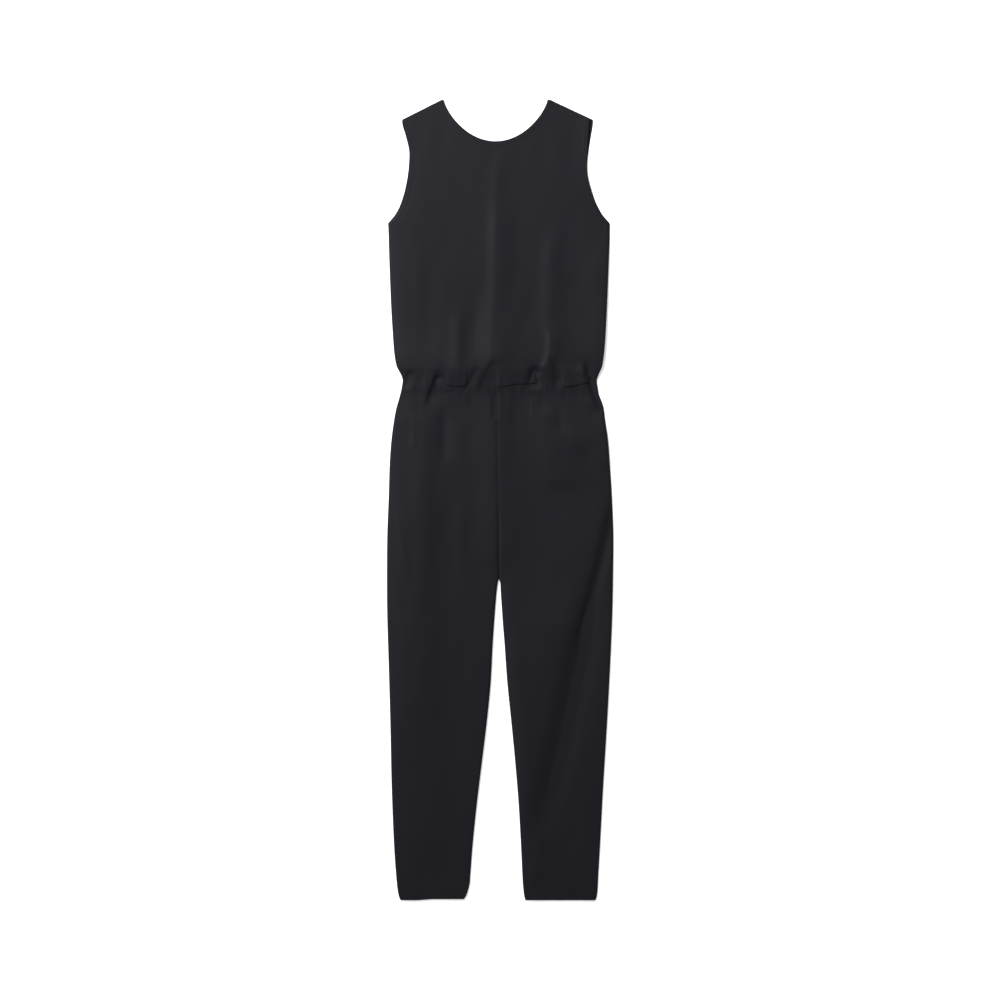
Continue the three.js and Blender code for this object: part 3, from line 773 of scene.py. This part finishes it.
# Bodice front, with the roll of its blouse

bodiceFront = {
    "armBand": 9,  # width and columns of the strip along each armhole
    "edgeColumns": 12,
    "shoulderColumns": 26,
    "neckColumns": 112,
    "topBand": 12,  # height and rows of the strip along the neck and shoulders
    "bandRows": 10,
    "rows": 125,
    "rowCrowding": 1.5,  # rows lie closer together towards the waist
    "rollStartY": 227,
    "rollSteps": 5,  # rows between two of the roll's sections
    "hangShares": (0, 0.7),  # lip shares between which the roll comes to hang
    "layerGap": 0.15,
    "seamProud": 0.08,  # how far the bodice's plain end lies over the casing's edge
    "cut": (0.44, 0.57),  # metres across and along the flat piece of cloth
    "cutArea": 0.19,  # square metres
}

# Share of the lip's reach and of the roll's height at each section, from the top round under
rollAhead = np.array([0.35, 0.82, 1, 0.8, 0])
rollHeight = np.array([1, 0.9, 0.5, 0.06, 0])


# Smooth curves through a stack of point rows: cubics whose slope at a row is half the way
# between its neighbours, each cut into the given number of steps.
def smoothRows(rows, steps):
    padded = np.concatenate([2 * rows[:1] - rows[1:2], rows, 2 * rows[-1:] - rows[-2:-1]])
    a, b, c, d = padded[:-3], padded[1:-2], padded[2:-1], padded[3:]
    t = (np.arange(steps) / steps)[None, :, None, None]
    a, b, c, d = (part[:, None] for part in (a, b, c, d))
    made = b + 0.5 * t * (c - a + t * (2 * a - 5 * b + 4 * c - d + t * (3 * (b - c) + d - a)))
    return np.concatenate([made.reshape(-1, *rows.shape[1:]), rows[-1:]])


# Columns as shares of the front's width, close together in the armhole bands.
def bodiceColumns():
    spec = bodiceFront
    width = shoulders["frontRight"] - shoulders["left"]
    ends = [(neck["middle"] + side * neck["halfWidth"] - shoulders["left"]) / width for side in (-1, 1)]
    band = spec["armBand"] / width
    counts = [spec["edgeColumns"], spec["shoulderColumns"]]
    return spans([0, band, *ends, 1 - band, 1], [*counts, spec["neckColumns"], *counts[::-1]])


# Straight rows from the upper edge to the start of the roll, then the roll: sections that run
# ahead over the casing, fall, and come back under to the waist seam.
def bodiceFrontGrid():
    spec = bodiceFront
    u = bodiceColumns()
    bandShare = spec["topBand"] / (shoulderTipY - spec["rollStartY"])
    lower = (1 - bandShare) * (1 - np.linspace(0, 1, spec["rows"])) ** spec["rowCrowding"]
    v = np.concatenate([np.linspace(1, 1 - bandShare, spec["bandRows"], endpoint=False), lower])
    tipX = shoulders["left"] + (shoulders["frontRight"] - shoulders["left"]) * u
    top = upperEdge(tipX, shoulders["left"], shoulders["frontRight"], neck["drop"])
    y = spec["rollStartY"] + v[:, None] * (top - inset - spec["rollStartY"])
    edgeY = spec["rollStartY"] + v * (shoulderTipY - inset - spec["rollStartY"])
    left = leftEdge(edgeY)[:, None] + inset
    right = frontRightEdge(edgeY)[:, None] - inset
    x = left + (right - left) * u
    main = np.stack([x, y, frontLevel + bodiceLift(x, y)], -1)

    seamX = leftEdge(casingTopY) + (rightEdge(casingTopY) - leftEdge(casingTopY)) * u
    firm, hangs, reach = lipShare(seamX), lipShare(seamX, *spec["hangShares"]), along(blouseLip, seamX, 1)
    steps = np.arange(1, len(rollAhead) + 1)[:, None] / len(rollAhead)
    plainY = spec["rollStartY"] + (casingTopY - inset - spec["rollStartY"]) * steps
    sectionY = plainY + (casingTopY - rollAhead[:, None] * reach - plainY) * hangs
    sectionLeft, sectionRight = leftEdge(sectionY) + inset, rightEdge(sectionY) - inset
    sectionX = sectionLeft + (sectionRight - sectionLeft) * u
    layers = spec["seamProud"] + firm * (cloth["thickness"] + spec["layerGap"] - spec["seamProud"])
    low = frontLevel + casingLift(sectionX, sectionY) + layers
    high = frontLevel + bodiceLift(sectionX, sectionY)
    high = np.maximum(high, low + firm * (cloth["thickness"] + spec["layerGap"]))
    sectionZ = low + (high - low) * rollHeight[:, None]
    sections = np.stack([sectionX, sectionY, sectionZ], -1)
    roll = smoothRows(np.concatenate([main[-1:], sections]), spec["rollSteps"])
    return withBorders(np.concatenate([main, roll[1:]]))


# Thicker where an open edge is turned under, with a soft step at the band's stitches.
def bandThickness(grid):
    inside = distanceTo(openEdges, grid[..., 0], grid[..., 1])
    band = 1 - smoothStep(inside, cloth["bandWidth"], cloth["bandWidth"] + cloth["bandStep"])
    return cloth["thickness"] + 2 * cloth["bandExtra"] * band


bodiceGrid = bodiceFrontGrid()
front = addCloth("bodiceFront", "bodice_front", bodiceGrid, bandThickness(bodiceGrid))

# Waist casing, front and back

casing = {"columns": 230, "rows": 14, "overlap": 0.3, "proud": 0.04, "cut": (0.41, 0.03), "cutArea": 0.0122}


# Straight rows between the side seams from the waist seam down, at a level plus a lift.
def casingGrid(lift, level):
    u = np.linspace(0, 1, casing["columns"])
    y = np.linspace(casingTopY, casingBottomY - casing["overlap"], casing["rows"])[:, None]
    x = leftEdge(y) + inset + (rightEdge(y) - leftEdge(y) - 2 * inset) * u
    y = y + np.zeros_like(x)
    return withBorders(np.stack([x, y, level + inset + lift(x, y)], -1))


frontCasing = addCloth("waistCasingFront", "waist_casing_front",
                       casingGrid(casingLift, cloth["bed"] + casing["proud"]), cloth["thickness"])

# Trouser fronts

trouserFront = {
    "columns": 100,
    "hipY": 110,
    "topRows": 60,
    "hipRows": 60,
    "legRows": 118,
    "hemDepth": 29,
    "hemExtra": 0.2,
    "hemStep": 0.6,  # the step in thickness fades out over this on both sides
    "stepStrip": (3, -1),  # a strip of closer rows, from the hem's upper end
    "stepRows": 6,
    "hemRows": 16,
    "seamGap": 0.6,  # share of half a thickness that the inner edges draw apart
    "seamGapY": (60, -120),
    "cut": (0.22, 0.97),
    "cutArea": 0.168,
}
hemTopY = hemY + trouserFront["hemDepth"]


# Heights of a trouser front's rows, closer together at the waist and at the hem's step.
def trouserRows():
    spec = trouserFront
    strip = [hemTopY + edge for edge in spec["stepStrip"]]
    return spans(
        [casingBottomY + casing["overlap"], spec["hipY"], crotchY, *strip, hemY + inset],
        [spec["topRows"], spec["hipRows"], spec["legRows"], spec["stepRows"], spec["hemRows"]],
    )


leftHem = {"rise": 1.9, "startX": -152, "fullX": -118, "startY": -640}


# The left hem curves up a little towards the inner leg.
def hemRise(x, y):
    onLeftLeg = (x < 0) * smoothStep(x, leftHem["startX"], leftHem["fullX"])
    return leftHem["rise"] * onLeftLeg * stepDown(y, leftHem["startY"], hemY)


# Straight rows from a leg's left edge to its right one, where side is -1 for the left leg.
def trouserFrontGrid(side):
    spec = trouserFront
    y = trouserRows()[:, None]
    u = np.linspace(0, 1, spec["columns"])
    outer = leftEdge(y) + inset if side < 0 else rightEdge(y) - inset
    inner = innerEdge(y, side) + side * inset * (1 + spec["seamGap"] * stepDown(y, *spec["seamGapY"]))
    low, high = (outer, inner) if side < 0 else (inner, outer)
    x = low + (high - low) * u
    y = y + hemRise(x, y)
    return withBorders(np.stack([x, y, frontLevel + trouserLift(x, y, side)], -1))


# The turned-up hem makes the cloth thicker over its last few centimetres.
def hemThickness(grid):
    spec = trouserFront
    flatY = grid[..., 1] - hemRise(grid[..., 0], grid[..., 1])
    turnedUp = 1 - smoothStep(flatY, hemTopY - spec["hemStep"], hemTopY + spec["hemStep"])
    return cloth["thickness"] + spec["hemExtra"] * turnedUp


# Back pieces, which lie on the surface

bodiceBack = {"columns": 80, "rows": 110, "cut": (0.22, 0.56), "cutArea": 0.095}
trouserBack = {"columns": 70, "hipRows": 60, "legRows": 110, "cut": (0.23, 0.97), "cutArea": 0.172}
back = {
    "puckerShare": 2,  # the puckers stand up this many times as high as the front's are deep
    "highest": 0.75,
    "sideStrip": 14,  # creases fade out over this beside a side seam
    "seamShift": 1.5,  # the centre back seam lies beside the front one
    "seamShiftReach": 60,  # and comes back to it over this above the crotch
    "seamGap": 0.8,  # share of half a thickness between the seam and each side's cloth
}

# Shallow creases of the back, in the fold table's columns
backFolds = [
    (-120, 420, -126, 222, 4, 9, 7, 0.6, 0.25),
    (-60, 360, -66, 222, -3, 7, 9, 0.7, 0.25),
    (70, 480, 76, 222, 6, 8, 7, 0.7, 0.25),
    (130, 380, 126, 222, -3, 9, 8, 0.6, 0.25),
    (-100, 188, -112, 20, -5, 8, 7, 0.7, 0.25),
    (-50, 188, -48, 70, 2, 6, 6, 0.6, 0.25),
    (60, 188, 72, 40, 4, 7, 7, 0.7, 0.25),
    (120, 188, 130, 60, -3, 7, 8, 0.6, 0.25),
    (-150, -60, -70, -330, 8, 10, 8, 0.6, 0.25),
    (150, -90, 70, -380, -8, 10, 8, 0.6, 0.25),
]


# Height of the back over the floor: creases and gathers, flat along the side seams.
def backLift(x, y):
    gathered = -back["puckerShare"] * gatherHeight(puckers, x, y) - gatherHeight(gathers, x, y)
    lift = foldHeight(backFolds, x, y) + gathered
    edge = np.minimum(x - leftEdge(y), rightEdge(y) - x)
    return np.minimum(lift, back["highest"]) * smoothStep(edge, 0, back["sideStrip"])


# The centre back seam: the front's, moved aside above the crotch.
def backSeamX(y):
    return centreX(y) + back["seamShift"] * smoothStep(y, crotchY, crotchY + back["seamShiftReach"])


# The back's cloth at these places, lying on the floor with its creases.
def backGrid(x, y):
    return withBorders(np.stack([x, y, inset + backLift(x, y)], -1))


# The seam comes first in a back's columns, so the right one is turned to face the same way.
def facing(grid, side):
    return grid if side < 0 else grid[:, ::-1]


# Rows from the centre back seam to the side seam or armhole, under the upper edge's curve.
def bodiceBackGrid(side):
    u = np.linspace(0, 1, bodiceBack["columns"])
    v = 1 - np.linspace(0, 1, bodiceBack["rows"])
    edge, tip = (leftEdge, shoulders["left"]) if side < 0 else (rightEdge, shoulders["right"])
    joint = side * inset * back["seamGap"]
    topX = backSeamX(shoulderY) + joint + (tip - backSeamX(shoulderY) - joint) * u
    drop = neck["drop"] + cloth["backNeckExtra"]
    top = upperEdge(topX, shoulders["left"], shoulders["right"], drop) - inset
    y = casingTopY + v[:, None] * (top - casingTopY)
    edgeY = (casingTopY + v * (shoulderTipY - inset - casingTopY))[:, None]
    seam = backSeamX(edgeY) + joint
    x = seam + (edge(edgeY) - side * inset - seam) * u
    return facing(backGrid(x, y), side)


# Rows from the centre back or inner leg seam out to the side seam.
def trouserBackGrid(side):
    u = np.linspace(0, 1, trouserBack["columns"])
    rows = [trouserBack["hipRows"], trouserBack["legRows"]]
    y = spans([casingBottomY, crotchY, hemY + inset], rows)[:, None]
    edge = leftEdge(y) if side < 0 else rightEdge(y)
    inner = np.where(y < crotchY, innerEdge(y, side), backSeamX(y)) + side * inset * back["seamGap"]
    x = inner + (edge - side * inset - inner) * u
    return facing(backGrid(x, y + hemRise(x, y)), side)


backCasing = addCloth("waistCasingBack", "waist_casing_back", casingGrid(backLift, 0), cloth["thickness"])
legs, backs = {}, {}
for sideName, side in (("Left", -1), ("Right", 1)):
    node = sideName.lower()
    legGrid = trouserFrontGrid(side)
    legs[sideName] = addCloth("trouserFront" + sideName, "trouser_front_" + node, legGrid,
                              hemThickness(legGrid))
    backs["bodice" + sideName] = addCloth("bodiceBack" + sideName, "bodice_back_" + node,
                                          bodiceBackGrid(side), cloth["thickness"])
    backs["trouser" + sideName] = addCloth("trouserBack" + sideName, "trouser_back_" + node,
                                           trouserBackGrid(side), cloth["thickness"])

# Stitches along the bands and hems

stitch = {
    "length": 2.5,
    "pitch": 3.4,
    "radius": 0.19,
    "sink": 0.1,  # how deep the thread lies in the cloth
    "sides": 6,
    "endGap": 4,  # a row stays this far from the ends of its path
    "insideBand": 1,  # from the turned band's inner edge
    "belowHemTop": 2,
    "hemEndGap": 3,
    "hemPoints": 60,
}
spindle = np.array([-1, -0.8, 0, 0.8, 1])  # a stitch's first point, its rings and its last point


# Points a fixed distance inside a curve: each is moved along the curve's own normal.
def movedInside(curve, distance):
    step = np.gradient(curve, axis=0)
    normal = np.stack([step[:, 1], -step[:, 0]], 1) / np.linalg.norm(step, axis=1, keepdims=True)
    return curve + normal * distance


# Spindles along a path: each ring's radius is the thread's times (1 - s^4)^(1/2) for s from
# -1 to 1, between a point at each end, and lies across the path's own direction there.
def stitchRow(name, path, surfaceZ):
    distance = np.concatenate([[0], np.cumsum(np.linalg.norm(np.diff(path, axis=0), axis=1))])
    gap = stitch["endGap"]
    starts = np.arange(gap, distance[-1] - stitch["length"] - gap, stitch["pitch"])
    at = starts[:, None] + 0.5 * stitch["length"] * (1 + spindle)
    x, y = np.interp(at, distance, path[:, 0]), np.interp(at, distance, path[:, 1])
    line = np.stack([x, y, surfaceZ(x, y) + stitch["radius"] - stitch["sink"]], -1)
    line[:, [0, -1], 2] -= stitch["radius"]
    ahead = line[:, -1] - line[:, 0]
    ahead /= np.linalg.norm(ahead, axis=1, keepdims=True)
    across = np.cross(ahead, [0, 0, 1])
    across /= np.linalg.norm(across, axis=1, keepdims=True)
    up = np.cross(across, ahead)
    angle = 2 * np.pi * np.arange(stitch["sides"]) / stitch["sides"]
    radii = stitch["radius"] * np.sqrt(1 - spindle[1:-1] ** 4)
    spoke = across[:, None, :] * np.cos(angle)[:, None] + up[:, None, :] * np.sin(angle)[:, None]
    rings = line[:, 1:-1, None, :] + radii[:, None, None] * spoke[:, None, :, :]
    points = np.concatenate([line[:, :1], rings.reshape(len(starts), -1, 3), line[:, -1:]], 1)

    side = np.arange(stitch["sides"])
    after = (side + 1) % stitch["sides"]
    count = points.shape[1]
    faces = [np.stack([np.zeros_like(side), 1 + side, 1 + after], 1)]
    for ring in range(len(radii) - 1):
        a, b = 1 + ring * len(side) + side, 1 + ring * len(side) + after
        faces += [np.stack([a, a + len(side), b + len(side)], 1), np.stack([a, b + len(side), b], 1)]
    last = 1 + (len(radii) - 1) * len(side)
    faces.append(np.stack([last + side, np.full_like(side, count - 1), last + after], 1))
    faces = np.concatenate(faces)
    allFaces = (faces[None] + count * np.arange(len(starts))[:, None, None]).reshape(-1, 3)
    flat = points.reshape(-1, 3)
    row = makeMesh(name, flat, allFaces, flat[:, :2] * metresPerMm, threadLook)
    print("stitches:", name, len(starts))
    return row


# The upper face of the bodice front in its turned bands.
def bodiceTop(x, y):
    return cloth["bed"] + cloth["thickness"] + cloth["bandExtra"] + bodiceLift(x, y)


# A line across a leg just below the hem's upper end, which follows the hem's curve.
def hemPath(side):
    y = hemTopY - stitch["belowHemTop"]
    ends = sorted([(leftEdge(y) if side < 0 else rightEdge(y)), innerEdge(y, side)])
    x = np.linspace(ends[0] + stitch["hemEndGap"], ends[1] - stitch["hemEndGap"], stitch["hemPoints"])
    return np.stack([x, y + hemRise(x, y)], 1)


# The upper face of a leg's hem, as a function of x and y.
def hemFace(side):
    level = cloth["bed"] + cloth["thickness"] + trouserFront["hemExtra"] / 2
    return lambda x, y: level + trouserLift(x, y, side)


stitchInset = cloth["bandWidth"] - stitch["insideBand"]
bandStitches = [
    stitchRow("stitchesNeck", movedInside(neckCurve(), stitchInset), bodiceTop),
    stitchRow("stitchesArmLeft", movedInside(armCurve(leftEdge), -stitchInset), bodiceTop),
    stitchRow("stitchesArmRight", movedInside(armCurve(frontRightEdge), stitchInset), bodiceTop),
]
hemStitches = {
    "Left": stitchRow("stitchesHemLeft", hemPath(-1), hemFace(-1)),
    "Right": stitchRow("stitchesHemRight", hemPath(1), hemFace(1)),
}
